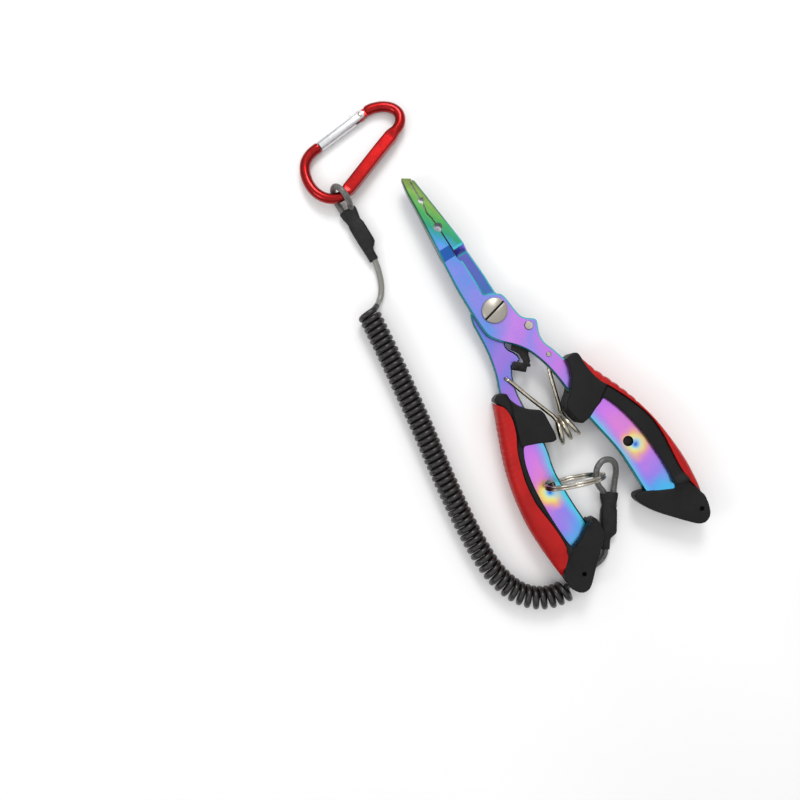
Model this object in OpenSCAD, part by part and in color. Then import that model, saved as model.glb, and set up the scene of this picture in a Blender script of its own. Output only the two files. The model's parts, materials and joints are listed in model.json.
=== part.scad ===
// Fishing pliers with grips, latch, return spring, coiled lanyard and carabiner.
// Top view lies in XY with the jaws towards +Y; the table is z = 0.
// Modules are drawn with the pivot axis at x = y = 0 and moved to the row frame at the end.

/* [Plates] */
// Thickness of each steel arm plate
plate_t = 3.3; // [3:0.1:3.6]
// Gap between the two plates
plate_gap = 0.1; // [0.1:0.05:0.2]
// Thickness of the jaws where they leave the plates
jaw_root_t = 8.4; // [7.6:0.2:9]
// Thickness of the jaws at the tip
jaw_tip_t = 5; // [4:0.5:6]

/* [Pivot] */
// Radius of the pivot screw's shank
shank_r = 3; // [2.5:0.25:3.5]
// Radius of the pivot screw's head
head_r = 5.2; // [4.8:0.1:5.6]
// Height of the pivot screw's head
head_h = 1.7; // [1.2:0.1:2]
// Running clearance of a turning pin in its hole
turn_gap = 0.05; // [0.03:0.01:0.08]

/* [Handles] */
// Thickness of the grips
grip_t = 15; // [14:0.5:16]
// Thickness of the grips' end caps
cap_t = 7.8; // [7:0.2:8.6]
// Radius of the lanyard hole in the right handle
lanyard_hole_r = 2.1; // [1.8:0.1:2.3]
// Radius of the split ring's hole in the left handle
ring_hole_r = 2.3; // [2.3:0.05:2.5]

/* [Lanyard] */
// Diameter of the cord
cord_d = 2.5; // [2.4:0.1:2.8]
// Outer diameter of the coiled stretch
coil_d = 9.6; // [9:0.2:10.4]
// Outer radius of the split ring
ring_r = 12.25; // [12.1:0.05:12.3]
// Wire thickness of the split ring
ring_wire = 1.1; // [0.9:0.1:1.1]

/* [Carabiner] */
// Diameter of the carabiner's rod
rod_d = 4.3; // [4.2:0.05:4.4]

/* [Hidden] */
$fn = 48;

// place of the pivot axis in the row frame
pivot_at = [1.2, 26];
mid_z = grip_t / 2;
back_z = mid_z - plate_gap / 2 - plate_t;
front_z = mid_z + plate_gap / 2;
front_top = front_z + plate_t;
// crimping holes shared by the two jaws
crimp_holes = [[-1.1, 40.3, 1.8], [-1, 53.1, 1.25]];
latch_at = [8.4, -12.3];
latch_rivet_r = 1.2;
ring_hole_at = [-18.5, -71.4];
lanyard_hole_at = [17.1, -72.6];
spring_wire = 1.7;
spring_room = 0.2;
spring_front_at = [9, -26.3];
spring_back_at = [-10.3, -25.7];

// Smooth open curve through the points of p, with n steps a stretch.
function curve(p, n = 6) =
  let (last = len(p) - 1)
  [for (i = [0 : last - 1])
    let (a = p[max(i - 1, 0)], b = p[i], c = p[i + 1], d = p[min(i + 2, last)])
    for (k = [0 : n - 1])
      let (t = k / n)
      0.5 * (2 * b + (c - a) * t + (2 * a - 5 * b + 4 * c - d) * t * t
        + (3 * b - a - 3 * c + d) * t * t * t),
   p[last]];

function unit(v) = v / norm(v);

// Round tube along the path p, as one closed solid with a given number of sides.
// The rings keep their sides lined up by turning about the path as little as possible.
module tube(p, d, sides = 8) {
  last = len(p) - 1;
  dirs = [for (i = [0 : last]) unit(p[min(i + 1, last)] - p[max(i - 1, 0)])];
  first = abs(dirs[0][2]) < 0.9 ? [0, 0, 1] : [1, 0, 0];
  ups = [for (i = 0, u = unit(first - dirs[0] * (first * dirs[0])); i <= last;
    i = i + 1, u = i <= last ? unit(u - dirs[i] * (u * dirs[i])) : u) u];
  points = [for (i = [0 : last]) for (k = [0 : sides - 1])
    let (side = cross(dirs[i], ups[i]), a = 360 * k / sides)
    p[i] + d / 2 * (cos(a) * ups[i] + sin(a) * side)];
  walls = [for (i = [0 : last - 1]) for (k = [0 : sides - 1])
    let (a = i * sides + k, b = i * sides + (k + 1) % sides)
    each [[a, b + sides, b], [a, a + sides, b + sides]]];
  start_cap = [for (k = [0 : sides - 1]) k];
  end_cap = [for (k = [0 : sides - 1]) last * sides + sides - 1 - k];
  polyhedron(points, concat(walls, [start_cap, end_cap]), convexity = 6);
}

// ---- steel arms ----

// outer edge of each jaw, from the blade zone to the tip
left_jaw_edge = [[-8.2, 6], [-7.9, 16], [-7, 26], [-6.3, 32], [-5.3, 44], [-4.6, 52], [-4, 60], [-2.9,
  64.8]];
right_jaw_edge = [[1, 62], [1.4, 58], [2.3, 48], [3.9, 32], [4.5, 22], [4.8, 14], [4.8, 6.5]];
// edge between the jaws, from the tip to the blades, for the left jaw
slit_edge = [[-1.1, 60.5], [-1.2, 56], [-1.5, 50.5], [-2.2, 47.6], [-1.6, 44.5], [-1.4, 38], [-1.4, 26.5]];
slit_gap = 0.6;
blade_overlap = 1;

module front_outline() polygon(concat(
  curve(left_jaw_edge, 3),
  [[0.3, 62.6], [0.2, 62.2], [-0.9, 61.6]],
  slit_edge,
  [[0, 23.5], [0, 8], [1.5, 7.2], [3, 6.5]],
  curve([[4.7, 5.3], [6, 4], [6.6, 2], [6.9, -1], [7.2, -4], [7.7, -7], [9, -8.9], [10.8, -10.3]], 3),
  [[12.3, -11.5], [12.3, -12.4]],
  curve([[11.6, -14.2], [10.4, -17], [10, -20], [10.5, -22.6], [11.7, -25.6], [13.1, -30.5], [14.6, -33.5],
    [18.8, -43], [22, -52], [25, -62], [27.4, -73], [28.6, -84], [28.8, -95], [27.5, -102.5]], 3),
  [[24.5, -105], [20, -103]],
  curve([[12, -93.5], [12.1, -80], [11.6, -71.5], [9.6, -60], [8.4, -51], [7.6, -42.5], [7, -36], [5.8, -29],
    [3.3, -21.6], [0, -16.5], [-4, -12.3], [-6.7, -8.8], [-7.8, -6], [-8.1, -2]], 3)));

module back_outline() polygon(concat(
  curve(right_jaw_edge, 3),
  curve([[6, 2.5], [6, -2], [4, -6.5], [0.5, -9.6], [-3.2, -13.5], [-3, -16.4]], 3),
  [[-1.9, -18.2], [-1.2, -20], [-1.2, -22.2], [-3.2, -22.8], [-5.6, -22.6]],
  curve([[-7.5, -26], [-9.3, -31.4], [-10.2, -39], [-10.4, -48], [-11.4, -58], [-13.6, -67], [-14.2, -76],
    [-14.3, -84], [-14, -92.5]], 3),
  [[-20, -101], [-25, -103.5], [-28.5, -101.5]],
  curve([[-30.5, -94], [-30.9, -84], [-29.9, -73], [-27.6, -62], [-24.4, -52], [-21, -43], [-17.6, -35],
    [-15.2, -28], [-13.1, -22.5], [-11.4, -16], [-10.6, -11], [-10, -4], [-9.8, -0.5], [-9.2, 2], [-8.2,
      4.2],
    [-5.5, 6.6], [-2.5, 7.6]], 3),
  [[-blade_overlap, 8.6], [-blade_overlap, 26.3], [slit_edge[6][0] + slit_gap, 26.5]],
  [for (i = [5 : -1 : 0]) slit_edge[i] + [slit_gap, 0]],
  [[-0.4, 61.8]]));

// Side profile of a jaw and its plate, drawn in YZ, for the arm whose plate is above mid_z.
// side = 1 keeps the plate above the middle, side = -1 below it.
module side_profile(side) {
  full = jaw_root_t / 2;
  tip = jaw_tip_t / 2;
  inner = plate_gap / 2;
  outer = inner + plate_t;
  rotate([90, 0, 90]) linear_extrude(height = 100, center = true)
    polygon([[-120, side * inner], [26.5, side * inner], [29.5, -side * full], [65, -side * tip],
      [65, side * tip], [31.8, side * full], [27, side * outer], [-120, side * outer]]);
}

module crimp_cuts() {
  for (h = crimp_holes)
    translate([h[0], h[1], 0]) cylinder(h = grip_t, r = h[2]);
}

module front_arm() color("mediumpurple") difference() {
  intersection() {
    linear_extrude(height = grip_t) front_outline();
    translate([0, 0, mid_z]) side_profile(1);
  }
  crimp_cuts();
  translate([0, 0, front_z - 1]) cylinder(h = plate_t + 2, r = shank_r + turn_gap);
  translate([latch_at[0], latch_at[1], front_z - 1]) cylinder(h = plate_t + 2, r = latch_rivet_r);
  translate([spring_front_at[0], spring_front_at[1], front_z - 1])
    cylinder(h = plate_t + 2, r = spring_wire / 2 + spring_room);
  translate([lanyard_hole_at[0], lanyard_hole_at[1], front_z - 1])
    cylinder(h = plate_t + 2, r = lanyard_hole_r);
}

module back_arm() color("slateblue") difference() {
  intersection() {
    linear_extrude(height = grip_t) back_outline();
    translate([0, 0, mid_z]) side_profile(-1);
  }
  crimp_cuts();
  translate([0, 0, back_z - 1]) cylinder(h = plate_t + 2, r = shank_r);
  translate([spring_back_at[0], spring_back_at[1], back_z - 1])
    cylinder(h = plate_t + 2, r = spring_wire / 2 + spring_room);
  translate([ring_hole_at[0], ring_hole_at[1], back_z - 1]) cylinder(h = plate_t + 2, r = ring_hole_r);
}

// ---- pivot ----

slot_angle = 13.5;
head_gap = 0.1;
nut_h = 2;
nut_r = 4.6;

module pivot_screw() color("gainsboro") difference() {
  union() {
    translate([0, 0, back_z - nut_h]) cylinder(h = front_top + nut_h - back_z + head_gap, r = shank_r);
    translate([0, 0, front_top + head_gap]) cylinder(h = head_h - 0.4, r = head_r);
    translate([0, 0, front_top + head_gap + head_h - 0.4]) cylinder(h = 0.4, r1 = head_r, r2 = head_r - 0.5);
  }
  translate([0, 0, front_top + head_gap + head_h]) rotate(slot_angle)
    cube([2 * head_r + 1, 0.8, 1.6], center = true);
}

module pivot_nut() color("gainsboro") translate([0, 0, back_z - nut_h]) difference() {
  cylinder(h = nut_h, r = nut_r, $fn = 6);
  translate([0, 0, -1]) cylinder(h = nut_h + 2, r = shank_r);
}

// ---- latch ----

lever_t = 1.3;
lever_z = front_z - 0.3 - lever_t;
tab_start = [-5, -21.9];
tab_end = [-0.7, -25.8];
tab_angle = atan2(tab_end[1] - tab_start[1], tab_end[0] - tab_start[0]);
tab_len = norm(tab_end - tab_start);
tab_crest = front_z + 3;
tab_foot = front_z + 0.3;

module latch_lever() color("dimgray") {
  difference() {
    translate([0, 0, lever_z]) linear_extrude(height = lever_t) union() {
      translate(latch_at) circle(r = 2.8);
      polygon([[8.4, -9.5], [6.3, -10.2], [1.6, -13.4], [-1.2, -15.4], [-2.3, -16.6], [-1.3, -18.2], [-0.5,
        -20],
        [-0.5, -23], [-0.9, -24.2], [0.7, -25.9], [2, -24.6], [2.6, -22.4], [4.2, -19.5], [8.4, -15.1]]);
    }
    translate([latch_at[0], latch_at[1], lever_z - 1])
      cylinder(h = lever_t + 2, r = latch_rivet_r + turn_gap);
  }
  // riser that joins the lever to the thumb tab beyond the front arm's edge
  translate([tab_end[0], tab_end[1], lever_z]) rotate(tab_angle)
    translate([-0.6, 0, 0]) cube([1.8, 1.1, tab_crest - lever_z - 0.6]);
  // thumb tab, which slopes down and outwards from its crest
  translate([tab_start[0], tab_start[1], 0]) rotate(tab_angle) rotate([90, 0, 90])
    linear_extrude(height = tab_len)
      polygon([[1.1, tab_crest], [0, tab_crest], [-2.4, tab_foot + 1.1], [-2.4, tab_foot],
        [0, tab_crest - 1.2], [1.1, tab_crest - 1.2]]);
}

module latch_rivet() color("gainsboro") translate([latch_at[0], latch_at[1], 0]) {
  translate([0, 0, lever_z - 0.2]) cylinder(h = front_top - lever_z + 0.2, r = latch_rivet_r);
  translate([0, 0, front_top]) cylinder(h = 0.8, r = 1.6);
  translate([0, 0, lever_z - 0.9]) cylinder(h = 0.8, r = 2);
}

// ---- return spring ----

spring_r = 5.1;
spring_mid = [-54.7, 7.3];
// x of the turns along the coil, at the side where the legs leave and at the far side, where they fan out
function spring_x(u) =
  let (far = (1 - cos(360 * u)) / 2)
  (1 - far) * (-2.2 + 1.2 * u) + far * (-6.8 + 3.8 * u);
function spring_coil(n) = [for (i = [0 : n])
  let (u = 0.1 + 2.8 * i / n)
  [spring_x(u), spring_mid[0] + spring_r * cos(360 * u), spring_mid[1] + spring_r * sin(360 * u)]];

module return_spring() color("silver") {
  leg_z = back_z + plate_t + 1;
  under_z = front_z - 1;
  left_leg = [[spring_back_at[0], spring_back_at[1], back_z + 0.4],
    [spring_back_at[0], spring_back_at[1], leg_z - 1],
    [spring_back_at[0] + 0.3, spring_back_at[1] - 0.7, leg_z - 0.1],
    [spring_back_at[0] + 0.9, spring_back_at[1] - 2.4, leg_z],
    [-6.4, -37.5, leg_z + 0.4], [-3.6, -45.6, leg_z + 0.8], [-2.7, -48.4, leg_z + 1.3]];
  right_leg = [[1.6, -48.4, under_z - 1.6], [2.5, -45.6, under_z - 1], [5.6, -34.5, under_z],
    [8, -28.6, under_z], [8.7, -27.1, under_z], [spring_front_at[0], spring_front_at[1], under_z + 0.4],
    [spring_front_at[0], spring_front_at[1], front_top - 0.1]];
  tube(concat(left_leg, spring_coil(44), right_leg), spring_wire, 8);
}

// ---- grips ----

// right grip: outer edge from its top to the end cap
right_outer = [[19, -33.5], [20.5, -39.5], [22.7, -44.5], [25, -50], [27.5, -57], [29.6, -65], [31.2, -73],
  [32.3, -82], [32.7, -90], [32.3, -98], [31.6, -106]];
right_cap = [[31, -110.5], [29.6, -114.4], [27, -116.4], [24, -116.2], [21, -113.6], [16, -108], [11, -102],
  [8, -96.6], [7.2, -94], [7.8, -92.4], [9.2, -92.1], [12, -92.8], [17.5, -95.8]];
right_window = [[22.8, -98.4], [23.8, -92], [24, -84], [23.6, -74], [22.4, -66], [20.5, -58.6], [18, -52.4]];
right_saddle = [[13, -54], [8.6, -56], [4.8, -56.5], [4.3, -55.6], [3, -49.2], [3, -47.8], [4, -46], [7.5,
  -43.3],
  [11, -39], [12.7, -34.5], [13, -31.6], [14.4, -31], [16.8, -30.7], [18.2, -31.6]];

left_outer = [[-20.4, -31], [-23, -37.6], [-26, -44.8], [-29.2, -53], [-32, -62], [-34, -71.5], [-35.1, -81],
  [-35.2, -90], [-34.8, -98], [-34.2, -105]];
left_cap = [[-33.6, -110.6], [-31.8, -113.4], [-29, -114.5], [-26, -113.3], [-22, -109.4], [-16.8, -104.8],
  [-11.6, -99.8], [-10.2, -96], [-10, -92.4], [-11.4, -90.8], [-14, -91.6], [-19, -95.2]];
left_window = [[-24.5, -97.2], [-25.2, -92], [-25.4, -82], [-25.1, -73], [-24.2, -65], [-22.4, -57.6],
  [-19.6, -51.6]];
left_saddle = [[-14, -53.8], [-8.6, -56.5], [-7, -56.2], [-6.3, -54], [-5.6, -45], [-6.2, -43], [-10.4,
  -39.8],
  [-13, -36.4], [-14.2, -33], [-14, -30.6], [-15.6, -29.2], [-17.4, -28.8], [-19.2, -29.6]];

module right_grip_outline() polygon(concat(curve(right_outer, 3), curve(right_cap, 2), curve(right_window,
  3),
  right_saddle));

module left_grip_outline() polygon(concat(curve(left_outer, 3), curve(left_cap, 2), curve(left_window, 3),
  left_saddle));

right_pad_inner = [[30.2, -103], [28.6, -95], [28.6, -90], [29.2, -84], [29.8, -77], [29.6, -70], [28.2,
  -64],
  [25.6, -57], [22.6, -50.5], [20, -46], [18.7, -41], [18.4, -37]];
left_pad_inner = [[-32, -102.5], [-28.5, -99], [-27, -95], [-26.6, -90], [-26.8, -84], [-27.4, -78],
  [-27.7, -73],
  [-27, -66], [-25.6, -60], [-22.8, -52], [-19.6, -46], [-17.7, -40], [-17.8, -35]];

// The end cap and its bottom corner are thinner than the rest of the grip.
module cap_zone(side) translate([side > 0 ? 5 : -33, -120, -1])
  linear_extrude(height = grip_t + 2)
    polygon(side > 0 ? [[-5, 0], [35, 0], [35, 20], [20, 22.5], [10, 27], [-5, 32]]
      : [[-10, 0], [30, 0], [30, 33], [18, 27.5], [8, 23], [-10, 18]]);

module cap_slab() translate([-50, -125, mid_z - cap_t / 2]) cube([100, 50, cap_t]);

module grip_body(side) {
  difference() {
    linear_extrude(height = grip_t) children();
    cap_zone(side);
  }
  intersection() {
    linear_extrude(height = grip_t) children();
    cap_zone(side);
    cap_slab();
  }
}

// how far each pad stays below the grip's faces
pad_drop = 0.5;
module pad_slab() translate([-50, -125, pad_drop]) cube([100, 110, grip_t - 2 * pad_drop]);
// strip of each grip outside the pad's inner edge, which the pad takes
module right_strip() polygon(concat([[18.6, -32.6], [40, -32.6], [40, -107], [31.4, -107]],
  right_pad_inner));
module left_strip() polygon(concat([[-19.6, -30.4], [-45, -30.4], [-45, -106], [-34, -106]],
  left_pad_inner));

module right_grip() color("black") difference() {
  grip_body(1) right_grip_outline();
  translate([0, 0, front_z]) linear_extrude(height = plate_t) front_outline();
  linear_extrude(height = grip_t) right_strip();
  translate([27.5, -111.2, 0]) cylinder(h = grip_t, r = 0.9);
}

module right_pad() color("firebrick") difference() {
  intersection() {
    grip_body(1) intersection() {
      right_grip_outline();
      right_strip();
    }
    pad_slab();
  }
  translate([0, 0, front_z]) linear_extrude(height = plate_t) front_outline();
}

module left_grip() color("black") difference() {
  grip_body(-1) left_grip_outline();
  translate([0, 0, back_z]) linear_extrude(height = plate_t) back_outline();
  linear_extrude(height = grip_t) left_strip();
  translate([-26.2, -108.1, 0]) cylinder(h = grip_t, r = 0.9);
}

module left_pad() color("firebrick") difference() {
  intersection() {
    grip_body(-1) intersection() {
      left_grip_outline();
      left_strip();
    }
    pad_slab();
  }
  translate([0, 0, back_z]) linear_extrude(height = plate_t) back_outline();
}

// ---- split ring ----

ring_mid = [-9.7, -74.5, 12.4];
ring_angle = -19.5;

module split_ring() color("silver") translate(ring_mid) rotate(ring_angle) rotate([90, 0, 0])
  rotate_extrude($fn = 72) for (s = [-1, 1])
    translate([ring_r - ring_wire / 2, s * ring_wire * 0.49]) circle(d = ring_wire, $fn = 20);

// ---- lanyard ----

// Route of the cord, from its end in the ring loop's ferrule to its end in the clip loop's ferrule.
ring_loop_route = [[-0.6, -93.8, 2.2], [0.8, -91.4, 2.2], [2.6, -88.4, 2.4], [5, -84.8, 3.6],
  [7.2, -81.4, 5.6], [8.2, -78, 7.8], [7.2, -75.2, 9.6], [4.4, -73.8, 10.8], [1.4, -74.6, 11.2],
  [-0.6, -76.6, 10.8],
  [-1.7, -79.4, 8.8], [-1.7, -82.7, 5.6], [-1, -86, 3], [-1.6, -88.6, 2.3], [-2.7, -91.2, 2.2], [-3.6,
    -92.8, 2.2]];
tail_route = [[-12, -105.2, 2.1], [-13.1, -106.9, 2], [-14.8, -108.6, 1.8], [-17.4, -109.6, 1.5],
  [-20.6, -110, 1.4], [-24.6, -110.6, 1.4], [-28.6, -111.2, 1.4], [-32, -111.4, 1.4], [-35, -111.4, 1.5]];
coil_route = [[-35, -111.2, 4.9], [-39, -110.9, 4.9], [-44, -109.4, 4.9], [-49.4, -105.6, 4.9], [-53.6,
  -99.4, 4.9],
  [-56, -91, 4.9], [-56.6, -82, 4.9], [-55.8, -68, 4.9], [-53.9, -52, 4.9], [-51.4, -36, 4.9],
  [-48.8, -20, 4.9], [-46.3, -2, 4.9], [-44.4, 13, 4.9], [-42.9, 27, 4.9]];
lead_route = [[-39.4, 26.6, 4.4], [-37.6, 28, 3], [-34.6, 30.6, 1.7], [-31.9, 34.6, 1.4], [-30, 39.6, 1.6],
  [-29, 44, 2.1], [-28.9, 47, 2.2]];
clip_loop_route = [[-28.9, 60, 2.2], [-29, 63.6, 1.9], [-29.3, 67, 1.4], [-29.5, 70.4, 1.3],
  [-29.2, 74, 1.4], [-28.4, 76.6, 2.8], [-27.4, 77.4, 5.3], [-26.3, 76.5, 7.8], [-25.4, 74, 9.1],
  [-25.1, 71.4, 8.8],
  [-25.2, 69, 6.6], [-25.5, 67.8, 4.1], [-26, 66, 2.7], [-26.3, 63.5, 2.2], [-26.3, 60, 2.2]];

module ring_loop() color("dimgray") tube(curve(ring_loop_route, 3), cord_d);
module tail_cord() color("dimgray") tube(curve(tail_route, 3), cord_d);
module lead_cord() color("dimgray") tube(curve(lead_route, 3), cord_d);
module clip_loop() color("dimgray") tube(curve(clip_loop_route, 3), cord_d);
module cord_coil() color("dimgray") tube(curve(coil_route, 2), coil_d, 16);

// Sleeve over a ferrule: two strands lie side by side in the wide part and one runs on in the tail.
sleeve_h = 4.4;
strand_gap = 2.6;
ferrule_size = [5.6, 9, 2.8];
ferrule_start = 7;
module sleeve_outline() polygon([[-3.7, 0], [3.7, 0], [3.3, 4], [3.3, 17], [1, 18.6], [1, 23.4], [-3.3,
  23.4],
  [-3.3, 4]]);

module sleeve_cavity() {
  translate([-ferrule_size[0] / 2, -1, (sleeve_h - ferrule_size[2]) / 2])
    cube([ferrule_size[0], ferrule_start + ferrule_size[1] + 1, ferrule_size[2]]);
  translate([-strand_gap / 2, 0, sleeve_h / 2]) rotate([-90, 0, 0]) cylinder(h = 30, d = cord_d + 0.1);
}

module sleeve() difference() {
  linear_extrude(height = sleeve_h) sleeve_outline();
  sleeve_cavity();
}

module ferrule() translate([-ferrule_size[0] / 2, ferrule_start, (sleeve_h - ferrule_size[2]) / 2])
  cube(ferrule_size);

module place_ring_end() translate([0.9, -87.6, 0]) rotate(-33.4) mirror([0, 1, 0]) children();
module place_clip_end() translate([-27.5, 67.4, 0]) rotate(-1) mirror([0, 1, 0]) children();

module ring_sleeve() color("black") place_ring_end() sleeve();
module clip_sleeve() color("black") place_clip_end() sleeve();
module ring_ferrule() color("silver") place_ring_end() ferrule();
module clip_ferrule() color("silver") place_clip_end() ferrule();

// ---- carabiner ----

gate_at = [-2.4, 96.7];
rod_z = rod_d / 2;
frame_path = [[-23.3, 95.06, rod_z], [-27.6, 94.6, rod_z], [-31.4, 92.6, rod_z], [-33.8, 89, rod_z],
  [-34.9, 84.4, rod_z],
  [-34.6, 80, rod_z], [-32.8, 76, rod_z], [-30, 73.4, rod_z], [-26.6, 72.4, rod_z], [-22, 73.4, rod_z],
  [-12, 77, rod_z], [-2, 80.6, rod_z], [5, 83, rod_z], [9.4, 85, rod_z], [11.4, 88.4, rod_z],
  [10.6, 92, rod_z], [7.6, 95, rod_z], [3.6, 96.8, rod_z], [0.6, 97.1, rod_z]];

// flat tongue with the pin's hole, which the gate's ears straddle
module frame_tongue() translate([gate_at[0], gate_at[1], rod_z - 0.9]) linear_extrude(height = 1.8)
  difference() {
  union() {
    circle(r = 2.1);
    translate([0, -1.2]) square([6, 3]);
  }
  circle(r = 0.8);
}

module carabiner_frame() color("crimson") {
  tube(curve(frame_path, 3), rod_d, 12);
  frame_tongue();
}

gate_len = 20.6;
gate_slope = 4.6;
module place_gate() translate([gate_at[0], gate_at[1], rod_z]) rotate(180 + gate_slope) children();

module carabiner_gate() color("silver") place_gate() difference() {
  union() {
    rotate([0, 90, 0]) cylinder(h = gate_len, d = rod_d);
    intersection() {
      cylinder(h = rod_d, d = rod_d - 0.4, center = true);
      rotate([0, 90, 0]) cylinder(h = 8, d = rod_d, center = true);
    }
  }
  // slot for the frame's tongue
  translate([-4, -4, -1.1]) cube([7.4, 8, 2.2]);
  // bore for the spring and plunger
  translate([3, 0, 0]) rotate([0, 90, 0]) cylinder(h = 10, r = 1.1);
  translate([0, 0, -4]) cylinder(h = 8, r = 0.8 + turn_gap);
}

module gate_pin() color("gainsboro") translate([gate_at[0], gate_at[1], 0.1])
  cylinder(h = rod_d - 0.2, r = 0.8);
module gate_plunger() color("silver") place_gate() translate([3.5, 0, 0]) rotate([0, 90, 0])
  cylinder(h = 2, r = 1.05);
module gate_spring() color("silver") place_gate()
  tube([for (i = [0 : 60]) [5.8 + 6.8 * i / 60, 0.8 * cos(i * 36), 0.8 * sin(i * 36)]], 0.4, 6);

// ---- assembly ----

module in_row() translate([pivot_at[0], pivot_at[1], 0]) children();

// The carabiner leans on the cord loop under its bow and rests on the table along its gate side.
clip_tilt = 7;
module in_clip() in_row() translate([0, gate_at[1], 0.05]) rotate([-clip_tilt, 0, 0])
  translate([0, -gate_at[1], 0]) children();

in_row() front_arm();
in_row() back_arm();
in_row() pivot_screw();
in_row() pivot_nut();
in_row() latch_lever();
in_row() latch_rivet();
in_row() return_spring();
in_row() right_grip();
in_row() right_pad();
in_row() left_grip();
in_row() left_pad();
in_row() split_ring();
in_row() ring_loop();
in_row() ring_ferrule();
in_row() ring_sleeve();
in_row() tail_cord();
in_row() cord_coil();
in_row() lead_cord();
in_row() clip_ferrule();
in_row() clip_sleeve();
in_row() clip_loop();
in_clip() carabiner_frame();
in_clip() carabiner_gate();
in_clip() gate_pin();
in_clip() gate_plunger();
in_clip() gate_spring();
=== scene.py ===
import bpy
import bmesh
import json
import math
from mathutils import Matrix, Vector

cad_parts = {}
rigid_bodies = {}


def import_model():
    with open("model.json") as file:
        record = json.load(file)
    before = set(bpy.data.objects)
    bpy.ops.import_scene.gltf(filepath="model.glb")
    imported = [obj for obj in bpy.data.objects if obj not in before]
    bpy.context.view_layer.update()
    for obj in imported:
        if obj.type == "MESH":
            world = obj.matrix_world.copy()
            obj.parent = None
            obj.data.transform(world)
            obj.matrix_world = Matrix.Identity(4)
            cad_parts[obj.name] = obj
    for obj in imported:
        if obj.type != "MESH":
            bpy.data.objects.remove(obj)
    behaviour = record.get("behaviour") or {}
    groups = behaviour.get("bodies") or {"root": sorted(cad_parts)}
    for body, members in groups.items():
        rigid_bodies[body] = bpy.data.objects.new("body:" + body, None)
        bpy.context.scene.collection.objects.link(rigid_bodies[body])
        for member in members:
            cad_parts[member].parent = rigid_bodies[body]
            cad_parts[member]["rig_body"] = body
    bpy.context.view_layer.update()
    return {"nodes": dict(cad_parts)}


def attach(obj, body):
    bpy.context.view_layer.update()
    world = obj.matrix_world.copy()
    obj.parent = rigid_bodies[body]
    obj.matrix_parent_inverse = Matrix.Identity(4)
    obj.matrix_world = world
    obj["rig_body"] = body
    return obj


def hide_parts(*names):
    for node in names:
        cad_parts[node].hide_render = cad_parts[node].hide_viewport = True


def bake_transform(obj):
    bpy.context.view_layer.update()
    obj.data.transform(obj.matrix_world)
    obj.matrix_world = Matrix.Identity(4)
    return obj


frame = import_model()

# ---- table, light and camera ----
# The pliers lie on a pale table under broad soft lamps, seen from straight above the middle of the set.
# Points are given in millimetres from the pivot screw, with the table at height 0.
PIVOT = Vector((1.2, 26, 0))
SET_MIDDLE = Vector((-0.02, 0.02, 0))


def at(x, y, z=0.0):
    """A point in metres, from its place in millimetres beside the pivot screw."""
    return (Vector((x, y, z)) + PIVOT) * 0.001


def srgb(r, g, b):
    """A colour as a paint maker writes it, 0 to 255, turned into linear light."""
    linear = [c / 255 / 12.92 if c <= 10 else ((c / 255 + 0.055) / 1.055) ** 2.4 for c in (r, g, b)]
    return (*linear, 1.0)


class Finish:
    """A material and short ways to add its nodes."""

    def __init__(self, name, **settings):
        self.material = bpy.data.materials.new(name)
        self.material.use_nodes = True
        self.nodes = self.material.node_tree.nodes
        self.links = self.material.node_tree.links
        self.surface = self.nodes["Principled BSDF"]
        for key, value in settings.items():
            self.surface.inputs[key.replace("_", " ").title().replace("Ior", "IOR")].default_value = value
        self.place = self.nodes.new("ShaderNodeTexCoord").outputs["Object"]

    def add(self, kind, **inputs):
        """A new node. Inputs go by name, or by number as _0 and _1, and take a value or an output."""
        made = self.nodes.new("ShaderNode" + kind)
        for key, value in inputs.items():
            if key in ("operation", "wave_type", "rings_direction"):
                setattr(made, key, value)
                continue
            socket = made.inputs[int(key[1:])] if key[0] == "_" else made.inputs[key.replace("_", " ")]
            if isinstance(value, bpy.types.NodeSocket):
                self.links.new(value, socket)
            else:
                socket.default_value = value
        return made

    def math(self, operation, a, b=0.0):
        return self.add("Math", operation=operation, _0=a, _1=b).outputs[0]

    def noise(self, scale, detail=3.0, stretch=None):
        spot = self.place
        if stretch:
            spot = self.add("Mapping", Vector=spot, Scale=stretch).outputs[0]
        return self.add("TexNoise", Vector=spot, Scale=scale, Detail=detail).outputs[0]

    def spread(self, value, low, high, out_low=0.0, out_high=1.0):
        return self.add("MapRange", Value=value, From_Min=low, From_Max=high, To_Min=out_low,
                        To_Max=out_high).outputs[0]

    def ramp(self, value, stops):
        made = self.add("ValToRGB", Fac=value)
        made.color_ramp.elements[0].position, made.color_ramp.elements[0].color = stops[0]
        made.color_ramp.elements[1].position, made.color_ramp.elements[1].color = stops[-1]
        for spot, colour in stops[1:-1]:
            made.color_ramp.elements.new(spot).color = colour
        return made.outputs[0]

    def mix(self, share, a, b):
        return self.add("MixRGB", Fac=share, Color1=a, Color2=b).outputs[0]

    def put(self, socket, value):
        self.links.new(value, self.surface.inputs[socket])

    def bump(self, height, strength, depth=0.0001):
        self.put("Normal", self.add("Bump", Height=height, Strength=strength, Distance=depth).outputs[0])


table_finish = Finish("pale_table", base_color=(0.93, 0.93, 0.93, 1), roughness=0.9)
mottle = [(0.3, (0.90, 0.90, 0.90, 1)), (0.7, (0.94, 0.94, 0.94, 1))]
table_finish.put("Base Color", table_finish.ramp(table_finish.noise(6, 2), mottle))
bpy.ops.mesh.primitive_plane_add(size=4, location=(0, 0, -0.0001))
table = bpy.context.object
table.name = "table"
table.data.materials.append(table_finish.material)

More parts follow.
